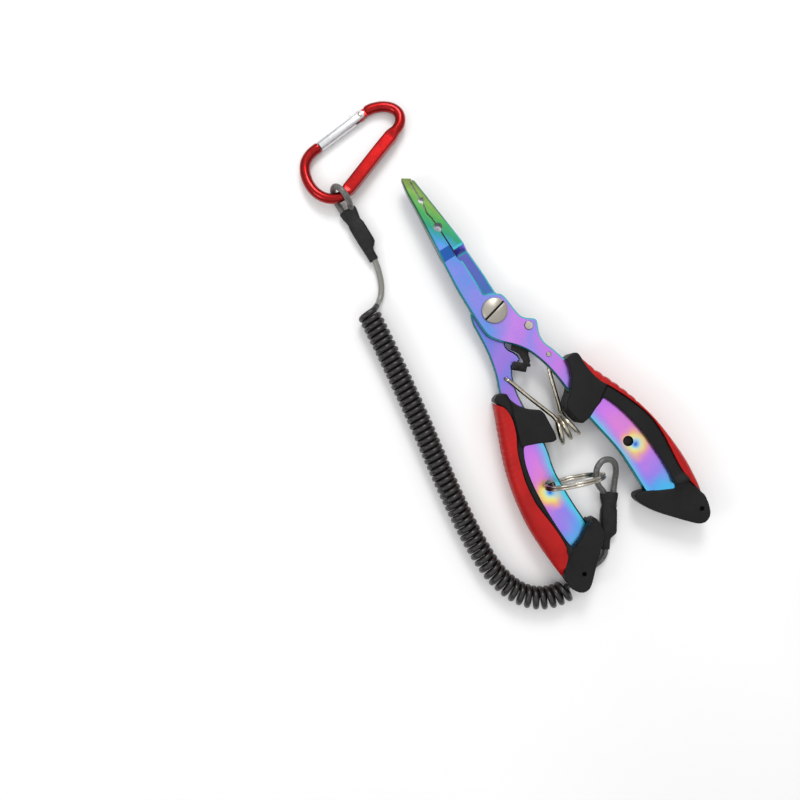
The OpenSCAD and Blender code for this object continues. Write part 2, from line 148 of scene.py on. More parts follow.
sky = bpy.data.worlds.new("soft_room")
sky.use_nodes = True
room = sky.node_tree
overhead = room.nodes.new("ShaderNodeSeparateXYZ")
room.links.new(room.nodes.new("ShaderNodeTexCoord").outputs["Generated"], overhead.inputs[0])
shade = room.nodes.new("ShaderNodeValToRGB")
room.links.new(overhead.outputs[2], shade.inputs[0])
shade.color_ramp.elements[0].color = (0.55, 0.55, 0.55, 1)
shade.color_ramp.elements[1].color = (1.0, 1.0, 1.0, 1)
shade.color_ramp.elements[1].position = 0.8
for height, light in ((0.3, 0.3), (0.5, 0.75)):
    shade.color_ramp.elements.new(height).color = (light, light, light, 1)
room.links.new(shade.outputs[0], room.nodes["Background"].inputs["Color"])
bpy.context.scene.world = sky
bpy.context.scene.view_settings.view_transform = "Standard"


def lamp(name, place, size, power):
    """A square lamp aimed at the middle of the set."""
    data = bpy.data.lights.new(name, "AREA")
    data.size = size
    data.energy = power
    made = bpy.data.objects.new(name, data)
    bpy.context.scene.collection.objects.link(made)
    made.location = place
    made.rotation_euler = (SET_MIDDLE - Vector(place)).to_track_quat("-Z", "Y").to_euler()


lamp("top_lamp", (0.3, 0.5, 0.6), 0.26, 2.6)
lamp("side_lamp", (-0.6, 0.15, 0.5), 0.2, 0.7)

eye = bpy.data.cameras.new("eye")
eye.lens = 38.2
eye.sensor_width = 36
camera = bpy.data.objects.new("camera", eye)
bpy.context.scene.collection.objects.link(camera)
camera.location = at(-51, -9.8, 350)
camera.rotation_euler = (0, 0, math.radians(-32.5))
bpy.context.scene.camera = camera

# ---- cord ----
# One 2.5 mm vinyl-covered wire runs the whole lanyard: a loop on the split ring, the coiled stretch and a loop
# on the carabiner. It is wound warm into its coil, and each loop's end is crimped back on it in a ferrule.
CORD_D = 2.5
COIL_D = 9.6
ring_loop_route = [(-0.6, -93.8, 2.2), (0.8, -91.4, 2.2), (2.6, -88.4, 2.4), (5, -84.8, 3.6),
    (7.2, -81.4, 5.6), (8.2, -78, 7.8), (7.2, -75.2, 9.6), (4.4, -73.8, 10.8), (1.4, -74.6, 11.2),
    (-0.6, -76.6, 10.8), (-1.7, -79.4, 8.8), (-1.7, -82.7, 5.6), (-1, -86, 3), (-1.6, -88.6, 2.3),
    (-2.7, -91.2, 2.2), (-3.6, -92.8, 2.2)]
tail_route = [(-7.6, -98.8, 2.2), (-12, -105.2, 2.1), (-13.1, -106.9, 2), (-14.8, -108.6, 1.8),
    (-17.4, -109.6, 1.5), (-20.6, -110, 1.4), (-24.6, -110.6, 1.4), (-28.6, -111.2, 1.4),
    (-32, -111.4, 1.4)]
coil_route = [(-35, -111.2, 4.9), (-39, -110.9, 4.9), (-44, -109.4, 4.9), (-49.4, -105.6, 4.9),
    (-53.6, -99.4, 4.9), (-56, -91, 4.9), (-56.6, -82, 4.9), (-55.8, -68, 4.9), (-53.9, -52, 4.9),
    (-51.4, -36, 4.9), (-48.8, -20, 4.9), (-46.3, -2, 4.9), (-44.4, 13, 4.9), (-42.9, 27, 4.9)]
lead_route = [(-38.2, 27.7, 4.4), (-36.6, 28.9, 2.6), (-34.4, 30.8, 1.7), (-31.9, 34.6, 1.4),
    (-30, 39.6, 1.6), (-29, 44, 2.1), (-28.9, 47, 2.2), (-28.9, 53, 2.2)]
clip_loop_route = [(-28.9, 60, 2.2), (-29, 63.6, 1.9), (-29.3, 67, 1.4), (-29.5, 70.4, 1.3),
    (-29.2, 74, 1.4), (-28.4, 76.6, 2.8), (-27.4, 77.4, 5.3), (-26.3, 76.5, 7.8), (-25.4, 74, 9.1),
    (-25.1, 71.4, 8.8), (-25.2, 69, 6.6), (-25.5, 67.8, 4.1), (-26, 66, 2.7), (-26.3, 63.5, 2.2),
    (-26.3, 60, 2.2), (-26.3, 57, 2.2)]


def through(points, steps):
    """A smooth line through the points, with so many steps a stretch."""
    p = [Vector(q) for q in points]
    line = []
    for i in range(len(p) - 1):
        a, b, c, d = p[max(i - 1, 0)], p[i], p[i + 1], p[min(i + 2, len(p) - 1)]
        for k in range(steps):
            t = k / steps
            line.append(0.5 * (2 * b + (c - a) * t + (2 * a - 5 * b + 4 * c - d) * t * t
                               + (3 * b - a - 3 * c + d) * t ** 3))
    return line + [p[-1]]


def evenly(line, count):
    """The same line with its points spaced evenly along it."""
    far = [0.0]
    for a, b in zip(line, line[1:]):
        far.append(far[-1] + (b - a).length)
    made, i = [], 0
    for k in range(count):
        s = far[-1] * k / (count - 1)
        while i < len(far) - 2 and far[i + 1] < s:
            i += 1
        t = (s - far[i]) / max(far[i + 1] - far[i], 1e-9)
        made.append(line[i].lerp(line[i + 1], min(t, 1)))
    return made


def ease(t):
    t = min(max(t, 0.0), 1.0)
    return t * t * (3 - 2 * t)


def piece(name, points, faces, finish, sharp=40, slots=None):
    """A mesh piece from points in metres, smooth but for edges sharper than the given angle."""
    mesh = bpy.data.meshes.new(name)
    mesh.from_pydata([tuple(p) for p in points], [], faces)
    mesh.update()
    shape = bmesh.new()
    shape.from_mesh(mesh)
    bmesh.ops.recalc_face_normals(shape, faces=shape.faces)
    shape.to_mesh(mesh)
    shape.free()
    mesh.polygons.foreach_set("use_smooth", [True] * len(mesh.polygons))
    mesh.set_sharp_from_angle(angle=math.radians(sharp))
    for f in [finish] if isinstance(finish, Finish) else finish:
        mesh.materials.append(f.material)
    if slots:
        mesh.polygons.foreach_set("material_index", slots)
    made = bpy.data.objects.new(name, mesh)
    bpy.context.scene.collection.objects.link(made)
    return made


def sweep(line, outline, up=(0, 0, 1)):
    """Points and faces of a bar along the line. outline(i) is its section there, as (sideways, upwards) pairs."""
    n = len(line)
    ways = [(line[min(i + 1, n - 1)] - line[max(i - 1, 0)]).normalized() for i in range(n)]
    lift = Vector(up)
    points, faces, around = [], [], len(outline(0))
    for i in range(n):
        lift = (lift - ways[i] * lift.dot(ways[i])).normalized()
        side = ways[i].cross(lift)
        points += [line[i] + side * u + lift * v for u, v in outline(i)]
    for i in range(n - 1):
        for k in range(around):
            a, b = i * around + k, i * around + (k + 1) % around
            faces.append((a, b, b + around, a + around))
    faces.append(tuple(range(around - 1, -1, -1)))
    faces.append(tuple((n - 1) * around + k for k in range(around)))
    return points, faces


def round_section(radius, sides):
    return [(radius * math.cos(2 * math.pi * k / sides), radius * math.sin(2 * math.pi * k / sides))
            for k in range(sides)]


# The coil's turns almost touch at the carabiner end, and its pitch opens to 3 mm on the bend by the grip.
SLICES = 1500
TURN_STEPS = 22
TIGHT_PITCH, PITCH_RISE = 2.55, 0.5
PART_TURN = 0.667
middle = evenly(through(coil_route, 12), SLICES + 1)
coil_len = sum((b - a).length for a, b in zip(middle, middle[1:]))
turned = [0.0]
for i in range(SLICES):
    s = coil_len * i / SLICES
    pitch = TIGHT_PITCH + PITCH_RISE * ease((82 - s) / 60)
    ends = ease((s + 2) / 3.4) * ease((coil_len - s + 1.4) / 2.8)
    turned.append(turned[-1] + ends / pitch * coil_len / SLICES)
turn_count = round(turned[-1] - PART_TURN) + PART_TURN
turned = [t * turn_count / turned[-1] for t in turned]
coil_line = []
step = 0
for k in range(int(turn_count * TURN_STEPS) + 1):
    turn = k / TURN_STEPS
    while step < SLICES - 1 and turned[step + 1] < turn:
        step += 1
    t = (turn - turned[step]) / max(turned[step + 1] - turned[step], 1e-9)
    spot = middle[step].lerp(middle[step + 1], t)
    way = (middle[step + 1] - middle[step]).normalized()
    side = way.cross(Vector((0, 0, 1))).normalized()
    angle = -math.pi / 2 - 2 * math.pi * turn
    r = (COIL_D - CORD_D) / 2
    coil_line.append(spot + side * (r * math.cos(angle)) + Vector((0, 0, r * math.sin(angle))))
before = through(ring_loop_route + tail_route + [coil_line[0]], 7)
after = through([coil_line[-1]] + lead_route + clip_loop_route, 7)
cord_line = before[:-1] + coil_line + after[1:]

cord_vinyl = Finish("smoky_vinyl", roughness=0.3, coat_weight=0.25, coat_roughness=0.15)
cloud = cord_vinyl.noise(900, 3)
lengthwise = cord_vinyl.add("SeparateXYZ", Vector=cord_vinyl.place).outputs[1]
# the one vinyl is painted lighter along the straight lead and darker at both loops: painted light where the
# translucent cord lies on the pale table, painted shade at the loops
cord_tone_painted_light_and_shade = cord_vinyl.ramp(cord_vinyl.spread(lengthwise, at(0, -100).y, at(0, 90).y), [
    (0.0, srgb(62, 62, 62)), (0.15, srgb(80, 80, 79)), (0.5, srgb(104, 103, 99)), (0.66, srgb(122, 121, 115)),
    (0.8, srgb(118, 117, 112)), (0.86, srgb(88, 86, 84)), (1.0, srgb(76, 75, 74))])
paler = cord_vinyl.spread(cloud, 0.35, 0.65, 0.0, 0.3)
cord_vinyl.put("Base Color", cord_vinyl.mix(paler, cord_tone_painted_light_and_shade, srgb(140, 138, 132)))
cord_vinyl.put("Roughness", cord_vinyl.spread(cord_vinyl.noise(2500, 2), 0.3, 0.7, 0.24, 0.38))
cord_vinyl.bump(cord_vinyl.noise(1800, 2), 0.15)
# the coiled stretch takes a darker copy of the same vinyl: painted shade, for less light getting through the
# close turns
coil_vinyl_painted_shade = Finish("smoky_vinyl_coil_shade", roughness=0.3, specular_ior_level=0.5, coat_weight=0.12,
                    coat_roughness=0.16)
cloud = coil_vinyl_painted_shade.noise(300, 3)
coil_vinyl_painted_shade.put("Base Color", coil_vinyl_painted_shade.ramp(cloud, [(0.35, srgb(14, 12, 11)), (0.65, srgb(26, 23, 21))]))
coil_vinyl_painted_shade.put("Roughness", coil_vinyl_painted_shade.spread(coil_vinyl_painted_shade.noise(2500, 2), 0.3, 0.7, 0.26, 0.42))
coil_vinyl_painted_shade.bump(coil_vinyl_painted_shade.noise(1800, 2), 0.15)

SIDES = 14
section = round_section(CORD_D / 2, SIDES)
points, faces = sweep(cord_line, lambda i: section)
first, last = len(before) - 4, len(before) + len(coil_line) + 4
end_caps = [0, 0]
slots = [1 if first <= j // SIDES < last else 0 for j in range(len(faces) - 2)] + end_caps
cord = piece("cord", [p * 0.001 + PIVOT * 0.001 for p in points], faces, [cord_vinyl, coil_vinyl_painted_shade], 60, slots)
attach(cord, "back")
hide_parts("ring_loop", "tail_cord", "cord_coil", "lead_cord", "clip_loop")

# ---- sleeves and ferrules ----
# Black heat-shrink tube covers each pressed aluminium ferrule. It flares where the loop's two strands go in,
# hugs the ferrule, and steps down to the one strand that runs on.
sleeve_rubber = Finish("shrink_tube", roughness=0.5, specular_ior_level=0.25)
grime = sleeve_rubber.noise(400, 4)
sleeve_rubber.put("Base Color", sleeve_rubber.ramp(grime, [(0.3, srgb(18, 18, 19)), (0.7, srgb(32, 32, 33))]))
sleeve_rubber.put("Roughness", sleeve_rubber.spread(sleeve_rubber.noise(1200, 2), 0.3, 0.7, 0.48, 0.66))
sleeve_rubber.bump(sleeve_rubber.noise(700, 4, (1, 0.4, 1)), 0.5, 0.0003)
pressed_metal = Finish("pressed_aluminium", metallic=1.0, roughness=0.4, base_color=srgb(200, 200, 200))
pressed_metal.put("Roughness", pressed_metal.spread(pressed_metal.noise(900, 3), 0.3, 0.7, 0.3, 0.5))
pressed_metal.bump(pressed_metal.noise(600, 2), 0.3)

# distance from the mouth, middle, half width, half height, squareness
sleeve_rings = [
    (0.9, 0, 2.6, 1.35, 2.6), (0.0, 0, 3.25, 1.75, 2.6), (0.15, 0, 3.6, 1.95, 2.8), (0.8, 0, 3.68, 2.0, 3),
    (2.6, 0, 3.5, 2.0, 3), (4.4, 0, 3.1, 1.9, 2.8), (5.6, -0.02, 2.9, 1.85, 2.8), (6.6, 0, 3.1, 1.98, 3.6),
    (7.4, 0, 3.28, 2.12, 4.2), (12, 0, 3.3, 2.16, 4.4), (15.8, 0, 3.28, 2.12, 4.2),
    (16.6, -0.05, 3.2, 2.0, 3.6), (17.5, -0.4, 2.8, 1.85, 2.8), (18.5, -0.95, 2.25, 1.75, 2.3),
    (19.6, -1.15, 2.0, 1.68, 2.2), (22.9, -1.25, 1.95, 1.66, 2.1), (23.3, -1.25, 1.85, 1.6, 2.1),
    (23.35, -1.28, 1.35, 1.3, 2)]
SLEEVE_MID = 2.2


def squarish(half_w, half_h, power, count):
    """A section between round, at power 2, and square."""
    ring = []
    for k in range(count):
        a = 2 * math.pi * (k + 0.5) / count
        c, s = math.cos(a), math.sin(a)
        u = half_w * math.copysign(abs(c) ** (2 / power), c)
        v = half_h * math.copysign(abs(s) ** (2 / power), s)
        ring.append((u, v))
    return ring


def sleeve(name, node, mouth, turn):
    """Shrink tube from its mouth, turned so many degrees, built ring by ring."""
    spin = Matrix.Rotation(math.radians(turn), 3, "Z")
    points, faces, count = [], [], 32
    for y, mid, w, h, power in sleeve_rings:
        for u, v in squarish(w, h, power, count):
            points.append(spin @ Vector((mid + u, -y, SLEEVE_MID + v)) + Vector(mouth))
    for i in range(len(sleeve_rings) - 1):
        for k in range(count):
            a, b = i * count + k, i * count + (k + 1) % count
            faces.append((a, b, b + count, a + count))
    faces.append(tuple(range(count)))
    faces.append(tuple((len(sleeve_rings) - 1) * count + k for k in range(count)))
    made = piece(name, [at(*p) for p in points], faces, sleeve_rubber, 50)
    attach(made, "back")
    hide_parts(node)
    return made


ring_cover = sleeve("ring_sleeve_cover", "ring_sleeve", (0.9, -87.6, 0), -33.4)
clip_cover = sleeve("clip_sleeve_cover", "clip_sleeve", (-27.5, 67.4, 0), -1)


def refinish(node, finish):
    """Gives a part that stays as it was machined its finish."""
    mesh = frame["nodes"][node].data
    mesh.materials.clear()
    mesh.materials.append(finish.material)


for node in ("ring_ferrule", "clip_ferrule"):
    refinish(node, pressed_metal)

# ---- carabiner frame ----
# A D-shaped snap hook is bent from 4.3 mm aluminium rod, pressed flatter along its long side and anodised red.
# It leans on the cord's loop at one end and rests on the table along its gate.
GATE = Vector((-2.4, 96.7, 0))
TILT = Matrix.Rotation(math.radians(-7), 3, "X")
TABLE_GAP = 0.05
ROD = 4.3
frame_path = [
    (-23.3, 95.06), (-27.6, 94.6), (-31.4, 92.6), (-33.8, 89), (-34.9, 84.4), (-34.6, 80), (-32.8, 76),
    (-30, 73.4), (-26.6, 72.4), (-22, 73.4), (-12, 77), (-2, 80.6), (5, 83), (9.4, 85), (11.4, 88.4),
    (10.6, 92), (7.6, 95), (3.6, 96.8), (0.6, 97.1)]


def clip_at(x, y, z):
    """A point of the carabiner, given as if it lay flat, after the carabiner is tilted about its gate."""
    p = TILT @ Vector((x, y - GATE.y, z)) + Vector((0, GATE.y, TABLE_GAP))
    return at(*p)


red_anodised = Finish("red_anodised", metallic=1.0, roughness=0.26, coat_weight=0.3, coat_roughness=0.1)
haze = red_anodised.noise(250, 3)
red_anodised.put("Base Color", red_anodised.ramp(haze, [(0.3, srgb(140, 10, 13)), (0.7, srgb(166, 19, 18))]))
brushed = red_anodised.noise(1500, 3, (1, 6, 1))
red_anodised.put("Roughness", red_anodised.spread(brushed, 0.3, 0.7, 0.2, 0.34))
red_anodised.bump(red_anodised.noise(1400, 3), 0.12)

rod_line = [Vector((p.x, p.y, ROD / 2)) for p in evenly(through([(x, y, 0) for x, y in frame_path], 12), 220)]


def rod_section(i):
    """Round rod, pressed flat along the long side and trimmed a little at both ends."""
    p = rod_line[i]
    flat = ease((p.x + 25) / 3) * ease((7 - p.x) / 4) if p.y < 86 else 0.0
    end = min(i, len(rod_line) - 1 - i)
    trim = 1 - 0.1 * (1 - ease(end / 1.5))
    w, h = (ROD / 2 + 0.48 * flat) * trim, (ROD / 2 - 0.3 * flat) * trim
    return squarish(w, h, 2 + 5 * flat, 32)


points, faces = sweep(rod_line, rod_section)
hook = piece("carabiner_rod", [clip_at(*p) for p in points], faces, red_anodised, 50)
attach(hook, "carabiner")
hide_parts("carabiner_frame")


def prism(name, outline, low, high, finish, place, soft=0.15):
    """A flat part cut from sheet: its outline given a thickness and slightly rounded edges."""
    shape = bmesh.new()
    floor = [shape.verts.new(place(x, y, low)) for x, y in outline]
    face = shape.faces.new(floor)
    up = bmesh.ops.extrude_face_region(shape, geom=[face])
    lift = place(0, 0, high) - place(0, 0, low)
    bmesh.ops.translate(shape, verts=[v for v in up["geom"] if isinstance(v, bmesh.types.BMVert)], vec=lift)
    bmesh.ops.recalc_face_normals(shape, faces=shape.faces)
    sharp = [e for e in shape.edges if e.is_manifold and e.calc_face_angle(0) > 0.6]
    bmesh.ops.bevel(shape, geom=sharp, offset=soft * 0.001, segments=2, affect="EDGES", profile=0.5,
                    clamp_overlap=True)
    mesh = bpy.data.meshes.new(name)
    shape.to_mesh(mesh)
    shape.free()
    mesh.polygons.foreach_set("use_smooth", [True] * len(mesh.polygons))
    mesh.set_sharp_from_angle(angle=math.radians(35))
    mesh.materials.append(finish.material)
    made = bpy.data.objects.new(name, mesh)
    bpy.context.scene.collection.objects.link(made)
    return made


# the tongue that the gate's ears straddle, and the T-shaped nose that its free end closes on
tongue_r = 2.1
tongue_arc = [math.radians(60 + 15 * k) for k in range(17)]
tongue_line = [(GATE.x + tongue_r * math.cos(a), GATE.y + tongue_r * math.sin(a)) for a in tongue_arc]
tongue_line += [(GATE.x + 5, GATE.y - 1.2), (GATE.x + 5, GATE.y + 1.8)]
tongue = prism("carabiner_tongue", tongue_line, ROD / 2 - 0.9, ROD / 2 + 0.9, red_anodised, clip_at)
nose_line = [(-24.4, 94.4), (-22.9, 94.5), (-22.85, 93.8), (-22.1, 93.85), (-22.2, 96.2), (-22.95, 96.15),
             (-22.95, 95.5), (-24.4, 95.4)]
nose = prism("carabiner_nose", nose_line, ROD / 2 - 0.7, ROD / 2 + 0.7, red_anodised, clip_at, 0.1)
for made in (tongue, nose):
    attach(made, "carabiner")

# ---- carabiner gate ----
# A satin aluminium tube is slotted at its hinge end into two ears. A rivet through the frame's tongue carries
# it, and a small spring and plunger inside push it shut.


def worked(name, node, width, finishes, segments=2, pick=None, sharp=35):
    """A copy of a machined part with its sharp edges broken or rounded, riding on the same body."""
    shape = bmesh.new()
    shape.from_mesh(frame["nodes"][node].data)
    bmesh.ops.remove_doubles(shape, verts=shape.verts, dist=2e-6)
    bmesh.ops.dissolve_limit(shape, angle_limit=math.radians(1), verts=shape.verts, edges=shape.edges)
    for f in shape.faces:
        f.material_index = 0
        f.smooth = True
    edges = [e for e in shape.edges if len(e.link_faces) == 2 and e.calc_face_angle(0) > math.radians(40)
             and e.calc_length() > 1e-5 and (pick is None or pick(e))]
    bmesh.ops.bevel(shape, geom=edges, offset=width * 0.001, segments=segments, affect="EDGES", profile=0.6,
                    clamp_overlap=False, miter_outer="SHARP")
    bmesh.ops.triangulate(shape, faces=[f for f in shape.faces if len(f.verts) > 4])
    mesh = bpy.data.meshes.new(name)
    shape.to_mesh(mesh)
    shape.free()
    mesh.materials.clear()
    for f in finishes:
        mesh.materials.append(f.material)
    mesh.set_sharp_from_angle(angle=math.radians(sharp))
    made = bpy.data.objects.new(name, mesh)
    bpy.context.scene.collection.objects.link(made)
    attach(made, frame["nodes"][node]["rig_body"])
    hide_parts(node)
    return made


satin_aluminium = Finish("satin_aluminium", metallic=1.0, roughness=0.35)
streak = satin_aluminium.noise(500, 3, (1, 12, 12))
satin = [(0.3, srgb(205, 206, 208)), (0.7, srgb(232, 232, 234))]
satin_aluminium.put("Base Color", satin_aluminium.ramp(streak, satin))
satin_aluminium.put("Roughness", satin_aluminium.spread(streak, 0.3, 0.7, 0.28, 0.42))
satin_aluminium.bump(streak, 0.12)
gate = worked("carabiner_gate_tube", "carabiner_gate", 0.18, [satin_aluminium])

bright_steel = Finish("bright_steel", metallic=1.0, roughness=0.22)
tone = bright_steel.noise(350, 3)
nickel_tone = [(0.3, srgb(168, 162, 150)), (0.7, srgb(200, 194, 184))]
bright_steel.put("Base Color", bright_steel.ramp(tone, nickel_tone))
bright_steel.put("Roughness", bright_steel.spread(bright_steel.noise(1800, 3), 0.3, 0.7, 0.16, 0.3))
bright_steel.bump(bright_steel.noise(2600, 2), 0.06)
pin = worked("gate_rivet", "gate_pin", 0.15, [bright_steel])
for node in ("gate_plunger", "gate_spring"):
    refinish(node, bright_steel)

# ---- steel arms ----
# Two arms are cut from 3.3 mm stainless plate and thickened at the jaws, which have crimping notches and,
# behind them, the line cutter. Heating in a vacuum leaves a rainbow oxide that shifts from green to violet.
SPARE_HOLE, RING_HOLE = (17.1, -72.6), (-18.5, -71.4)
FRONT_SPRING_HOLE, BACK_SPRING_HOLE = (9, -26.3), (-10.3, -25.7)
rainbow = Finish("rainbow_oxide", metallic=1.0, roughness=0.24)
parts = rainbow.add("SeparateXYZ", Vector=rainbow.place)
drift = rainbow.spread(rainbow.noise(45, 2), 0.3, 0.7, -0.006, 0.006)
# the colour bands cross the tool aslant: one way at the pivot, the other way at the jaws
skew = rainbow.math("ADD", rainbow.spread(parts.outputs[1], at(0, -30).y, at(0, -14).y, -0.12, -1.35),
                    rainbow.spread(parts.outputs[1], at(0, 12).y, at(0, 30).y, 0.0, 3.2))
across = rainbow.math("MULTIPLY", rainbow.math("SUBTRACT", parts.outputs[0], at(0, 0).x), skew)
along = rainbow.math("ADD", rainbow.math("ADD", parts.outputs[1], drift), across)
# colours along the tool, from the grip ends at -105 mm to the jaw tips at 65 mm
HANDLE_END, JAW_TIP = -105, 65
tints = [(-105, (80, 184, 235)), (-97, (80, 184, 235)), (-92, (90, 168, 236)), (-86, (150, 132, 234)),
         (-76, (208, 124, 228)), (-68, (222, 134, 212)), (-58, (208, 126, 232)), (-50, (190, 124, 232)),
         (-40, (140, 136, 230)), (-32, (200, 128, 226)), (-24, (150, 140, 232)), (-16, (190, 130, 228)),
         (-8, (196, 136, 230)), (0, (150, 140, 228)), (8, (106, 152, 226)), (16, (124, 142, 228)),
         (22, (92, 152, 222)), (26, (74, 156, 198)), (33, (58, 154, 122)), (41, (78, 162, 92)),
         (52, (126, 164, 84)), (57, (116, 138, 76)), (61, (98, 110, 64)), (65, (80, 86, 56))]
long_stops = [((y - HANDLE_END) / (JAW_TIP - HANDLE_END), srgb(*c)) for y, c in tints]
plate_tint = rainbow.ramp(rainbow.spread(along, at(0, HANDLE_END).y, at(0, JAW_TIP).y), long_stops)

# halo beside each handle's hole: its blue heart is a painted reflection of the hole's wall, then heat tint in
# yellow and pink
HALO_R = 0.0078
halo_reflection_and_tint_stops = [(0.0, srgb(70, 90, 205)), (0.12, srgb(110, 185, 232)), (0.26, srgb(205, 232, 200)),
              (0.42, srgb(246, 230, 110)), (0.62, srgb(240, 178, 130)), (1.0, srgb(222, 130, 205))]
flat = rainbow.add("VectorMath", operation="MULTIPLY", _0=rainbow.place, _1=(1, 1, 0)).outputs[0]
wobble = rainbow.spread(rainbow.noise(140, 1), 0.3, 0.7, -0.0008, 0.0008)
for x, y in ((18.8, -75.3), (-20.0, -73.9)):
    spot = at(x, y)
    away = rainbow.add("VectorMath", operation="DISTANCE", _0=flat, _1=(spot.x, spot.y, 0)).outputs["Value"]
    away = rainbow.spread(rainbow.math("ADD", away, wobble), 0.0, HALO_R)
    reach = rainbow.ramp(away, [(0.0, (1, 1, 1, 1)), (0.62, (0.9, 0.9, 0.9, 1)), (1.0, (0, 0, 0, 1))])
    plate_tint = rainbow.mix(reach, plate_tint, rainbow.ramp(away, halo_reflection_and_tint_stops))

# the handles' inner edges went bluer; grey stands for an edge's distance from the middle, 20 mm at full white
inner_edge = rainbow.ramp(rainbow.spread(parts.outputs[1], at(0, -105).y, at(0, -45).y), [
    (place, (grey, grey, grey, 1)) for place, grey in (
        (0.0, 0.63), (0.35, 0.66), (0.55, 0.635), (0.75, 0.54), (0.92, 0.47), (1.0, 0.2))])
sideways = rainbow.math("ABSOLUTE", rainbow.math("SUBTRACT", parts.outputs[0], at(-1.05, 0).x))
inside = rainbow.math("SUBTRACT", sideways, rainbow.math("MULTIPLY", inner_edge, 0.02))
cool = rainbow.spread(rainbow.math("ADD", inside, rainbow.math("MULTIPLY", drift, 0.15)), 0.0052, 0.0005)
cool = rainbow.math("MULTIPLY", cool, rainbow.spread(parts.outputs[1], at(0, -34).y, at(0, -42).y))
edge_blue = rainbow.ramp(cool, [(0.25, srgb(112, 146, 238)), (0.9, srgb(76, 204, 232))])
plate_tint = rainbow.mix(cool, plate_tint, edge_blue)

# the lower plate is a quieter blue beside the latch, and is painted a deeper, darker blue in the cutter's recess
# as painted shade; violet streaks cross both
lower_plate = rainbow.spread(parts.outputs[2], 0.0084, 0.0078)
behind = rainbow.math("MULTIPLY", lower_plate, rainbow.spread(parts.outputs[1], at(0, -40).y, at(0, -32).y))
plate_tint = rainbow.mix(rainbow.math("MULTIPLY", behind, 0.55), plate_tint, srgb(112, 118, 212))
streak = rainbow.noise(70, 2, (1.6, 0.7, 1))
streak = rainbow.math("MULTIPLY", rainbow.spread(streak, 0.48, 0.68, 0.0, 0.35),
                      rainbow.spread(parts.outputs[1], at(0, 27).y, at(0, 22).y))
plate_tint = rainbow.mix(streak, plate_tint, srgb(168, 134, 228))
# painted shade in the cutter's recess on the lower plate
recess_shade_tint = rainbow.ramp(rainbow.spread(parts.outputs[1], at(0, 6).y, at(0, 26).y), [
    (0.0, srgb(52, 112, 168)), (0.45, srgb(84, 102, 178)), (1.0, srgb(100, 96, 180))])
recess_shade_mask = rainbow.math("MULTIPLY", lower_plate, rainbow.spread(parts.outputs[1], at(0, 5).y, at(0, 8).y))
plate_tint = rainbow.mix(rainbow.math("MULTIPLY", recess_shade_mask, 0.85), plate_tint, recess_shade_tint)

# slopes, chamfers and walls take other colours by how steep they are; the near-black walls are painted shade
facing = rainbow.add("NewGeometry").outputs["True Normal"]
level = rainbow.math("ABSOLUTE", rainbow.add("SeparateXYZ", Vector=facing).outputs[2])
is_plate = rainbow.spread(level, 0.984, 0.994)
rim_tint_with_wall_shade = rainbow.ramp(level, [
    (0.0, srgb(20, 40, 32)), (0.3, srgb(20, 74, 70)), (0.5, srgb(134, 126, 252)),
    (0.6, srgb(136, 128, 252)), (0.66, srgb(54, 176, 180)), (0.9, srgb(80, 204, 222)),
    (0.97, srgb(36, 88, 168)), (1.0, srgb(42, 96, 176))])
at_tip = rainbow.math("MULTIPLY", rainbow.spread(parts.outputs[1], at(0, 32).y, at(0, 44).y), 0.8)
rim_tint_with_wall_shade = rainbow.mix(at_tip, rim_tint_with_wall_shade, srgb(74, 110, 50))
rainbow.put("Base Color", rainbow.mix(is_plate, rim_tint_with_wall_shade, plate_tint))
grain = rainbow.noise(400, 3, (4, 0.6, 1))
rainbow.put("Roughness", rainbow.spread(grain, 0.25, 0.75, 0.2, 0.3))
rainbow.bump(grain, 0.03)


def outer_edges(e):
    """The arms' edges, but not those of the small holes or between the jaws, which are left sharp."""
    x, y = (e.verts[0].co + e.verts[1].co)[:2]
    x, y = x * 500 - PIVOT.x, y * 500 - PIVOT.y
    gripping = y > 26.2 and -3.3 < x < 0.95
    small_holes = (SPARE_HOLE, RING_HOLE, FRONT_SPRING_HOLE, BACK_SPRING_HOLE)
    return not gripping and all(math.hypot(x - a, y - b) > 2.7 for a, b in small_holes)


for name, node in (("front_arm_plate", "front_arm"), ("back_arm_plate", "back_arm")):
    arm = worked(name, node, 0.6, [rainbow], 1, outer_edges, sharp=20)

# ---- pivot screw and nut ----
# A slotted nickel-plated screw holds the arms together. Its low head is turned, with a broken edge, and its
# thread is peened over in a hexagon nut behind.
turned_steel = Finish("turned_nickel", metallic=1.0, roughness=0.36)
from_axis = turned_steel.add("VectorMath", operation="SUBTRACT", _0=turned_steel.place, _1=tuple(at(0, 0)))
rings = turned_steel.add("TexWave", wave_type="RINGS", rings_direction="Z", Vector=from_axis.outputs[0],
                         Scale=600.0, Distortion=1.5, Detail=3.0).outputs["Fac"]
lathe_tone = [(0.0, srgb(150, 146, 138)), (1.0, srgb(184, 178, 168))]
turned_steel.put("Base Color", turned_steel.ramp(rings, lathe_tone))
turned_steel.put("Roughness", turned_steel.spread(rings, 0.0, 1.0, 0.34, 0.46))
turned_steel.bump(rings, 0.15)
slot_painted_shade = Finish("slot_painted_shade", metallic=0.5, roughness=0.7)
tone = slot_painted_shade.noise(900, 2)
slot_painted_shade.put("Base Color", slot_painted_shade.ramp(tone, [(0.3, srgb(22, 20, 18)), (0.7, srgb(44, 40, 36))]))
turned = [turned_steel, slot_painted_shade]
screw = worked("pivot_screw_turned", "pivot_screw", 0.1, turned, sharp=30)
nut = worked("pivot_nut_hex", "pivot_nut", 0.1, turned, sharp=30)
rivet = worked("latch_rivet_head", "latch_rivet", 0.1, [bright_steel], sharp=30)

